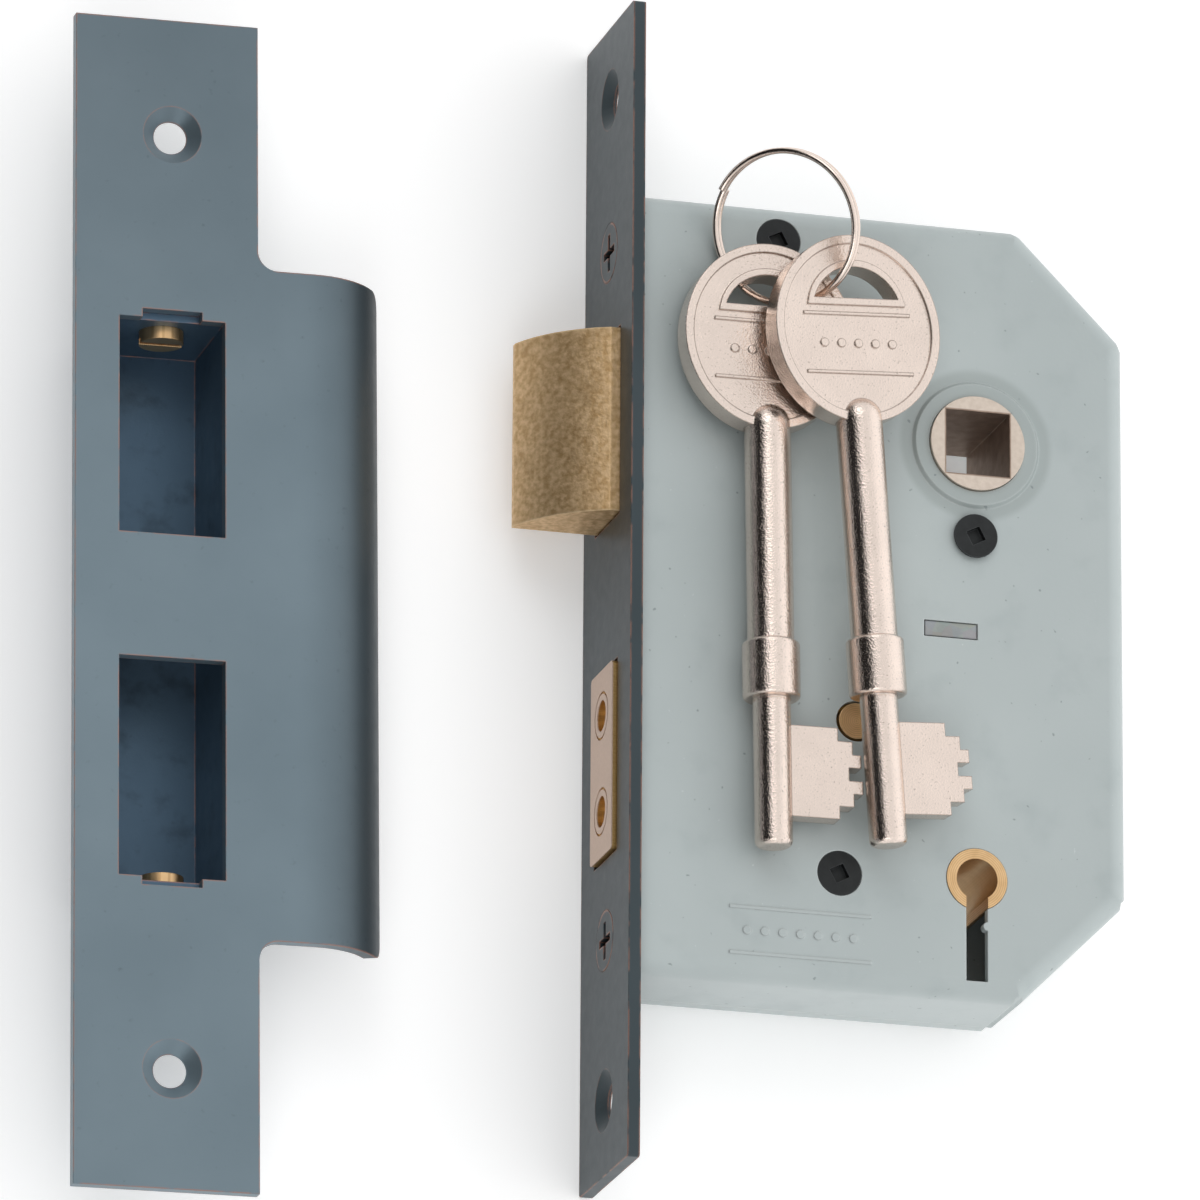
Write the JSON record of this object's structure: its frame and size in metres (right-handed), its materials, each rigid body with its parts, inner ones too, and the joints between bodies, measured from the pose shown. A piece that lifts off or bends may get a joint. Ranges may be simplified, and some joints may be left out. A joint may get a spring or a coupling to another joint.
{
  "type": "mortice sashlock set",
  "caption": "Mortice lock case with bevelled latch and square deadbolt in a forend plate, with a lipped box strike and lever keys on a split ring, laid flat as a set.",
  "frame": {"origin": "centre of the forend's outer face, midway between its two fixing screws and on the case's mid-plane", "axes": "+X into the case, away from the forend's outer face; +Y along the forend towards the latch; +Z out of the side of the case on which the keys lie"},
  "size_m": [0.1371, 0.1585, 0.0348],
  "materials": {
    "case_paint": "pale grey-green stove paint on pressed steel, satin",
    "zinc_steel": "zinc plated steel",
    "black_screw": "black phosphate, matt",
    "bronzed_plate": "blue-grey antique bronze with copper showing at worn edges",
    "bronzed_steel": "same antique bronze on pressed steel",
    "spring_steel": "drawn spring wire",
    "turned_brass": "turned brass",
    "cast_brass": "cast brass, satin and slightly grainy",
    "lever_brass": "stamped brass sheet",
    "nickel_steel": "nickel plated sintered steel",
    "hard_steel": "hardened steel",
    "nickel_plate": "warm bright nickel plate"
  },
  "bodies": {
    "lock_case": {"case_body": "case_paint", "case_cap": "case_paint", "case_posts": "zinc_steel", "case_screws": "black_screw", "forend": "bronzed_plate", "inner_forend": "zinc_steel", "forend_screws": "bronzed_plate", "shelf_plate": "zinc_steel", "latch_guide": "zinc_steel", "latch_spring": "spring_steel", "follower_spring": "spring_steel", "lever_pivot": "turned_brass", "lever_springs": "spring_steel"},
    "latch": {"latch_bolt": "cast_brass", "latch_tail": "zinc_steel", "latch_hook": "zinc_steel"},
    "follower": {"follower": "nickel_steel"},
    "key_barrel": {"key_barrel": "turned_brass"},
    "deadbolt": {"deadbolt_head": "cast_brass", "deadbolt_tail": "zinc_steel", "bolt_stump": "zinc_steel", "deadbolt_rivets": "zinc_steel", "hardened_pins": "hard_steel"},
    "strike": {"strike_plate": "bronzed_plate", "dust_box": "bronzed_steel", "dust_box_lugs": "bronzed_plate", "dust_box_screws": "turned_brass"},
    "ring": {"split_ring": "nickel_plate"},
    "key_1": {"key_1": "nickel_plate"},
    "key_2": {"key_2": "nickel_plate"},
    "lever_1": {"lever_1": "lever_brass"},
    "lever_2": {"lever_2": "lever_brass"},
    "lever_3": {"lever_3": "lever_brass"},
    "lever_4": {"lever_4": "lever_brass"},
    "lever_5": {"lever_5": "lever_brass"}
  },
  "joints": [
    {"name": "follower_turn", "type": "hinge", "parent": "lock_case", "child": "follower", "pos_m": [0.046, 0.0214, 0], "axis": [0, 0, 1], "range_deg": [-42, 0], "deforming": ["follower_spring"]},
    {"name": "latch_slide", "type": "slide", "parent": "lock_case", "child": "latch", "axis": [1, 0, 0], "range_m": [0, 0.011], "stiffness_N_per_m": 400, "springref_m": -0.01, "deforming": ["latch_spring"]},
    {"name": "barrel_turn", "type": "hinge", "parent": "lock_case", "child": "key_barrel", "pos_m": [0.046, -0.0356, 0], "axis": [0, 0, 1], "range_deg": [0, 360]},
    {"name": "deadbolt_slide", "type": "slide", "parent": "lock_case", "child": "deadbolt", "axis": [-1, 0, 0], "range_m": [0, 0.014]},
    {"name": "lever_1_lift", "type": "hinge", "parent": "lock_case", "child": "lever_1", "pos_m": [0.0303, -0.01635, 0], "axis": [0, 0, 1], "range_deg": [0, 5.5], "deforming": ["lever_springs"]},
    {"name": "lever_2_lift", "type": "hinge", "parent": "lock_case", "child": "lever_2", "pos_m": [0.0303, -0.01635, 0], "axis": [0, 0, 1], "range_deg": [0, 10.3], "deforming": ["lever_springs"]},
    {"name": "lever_3_lift", "type": "hinge", "parent": "lock_case", "child": "lever_3", "pos_m": [0.0303, -0.01635, 0], "axis": [0, 0, 1], "range_deg": [0, 3.7], "deforming": ["lever_springs"]},
    {"name": "lever_4_lift", "type": "hinge", "parent": "lock_case", "child": "lever_4", "pos_m": [0.0303, -0.01635, 0], "axis": [0, 0, 1], "range_deg": [0, 11], "deforming": ["lever_springs"]},
    {"name": "lever_5_lift", "type": "hinge", "parent": "lock_case", "child": "lever_5", "pos_m": [0.0303, -0.01635, 0], "axis": [0, 0, 1], "range_deg": [0, 5.9], "deforming": ["lever_springs"]},
    {"name": "strike_lift", "type": "slide", "parent": "lock_case", "child": "strike", "axis": [0, 0, 1], "range_m": [0, 0.05]},
    {"name": "ring_lift", "type": "slide", "parent": "lock_case", "child": "ring", "axis": [0, 0, 1], "range_m": [0, 0.05]},
    {"name": "key_1_swing", "type": "hinge", "parent": "ring", "child": "key_1", "pos_m": [0.01882, 0.03632, 0.012], "axis": [0, 0, 1], "range_deg": [-5, 0]},
    {"name": "key_2_swing", "type": "hinge", "parent": "ring", "child": "key_2", "pos_m": [0.0238, 0.03703, 0.0169], "axis": [0, 0, 1], "range_deg": [0, 5]}
  ],
  "couplings": [
    {"joint": "follower_turn", "follows": "latch_slide", "rad_per_m": -66.64},
    {"joint": "barrel_turn", "follows": "deadbolt_slide", "rad_per_m": 448.8},
    {"joint": "lever_1_lift", "follows": "deadbolt_slide", "rad_per_m": 6.8567},
    {"joint": "lever_2_lift", "follows": "deadbolt_slide", "rad_per_m": 12.841},
    {"joint": "lever_3_lift", "follows": "deadbolt_slide", "rad_per_m": 4.6127},
    {"joint": "lever_4_lift", "follows": "deadbolt_slide", "rad_per_m": 13.713},
    {"joint": "lever_5_lift", "follows": "deadbolt_slide", "rad_per_m": 7.3553}
  ]
}
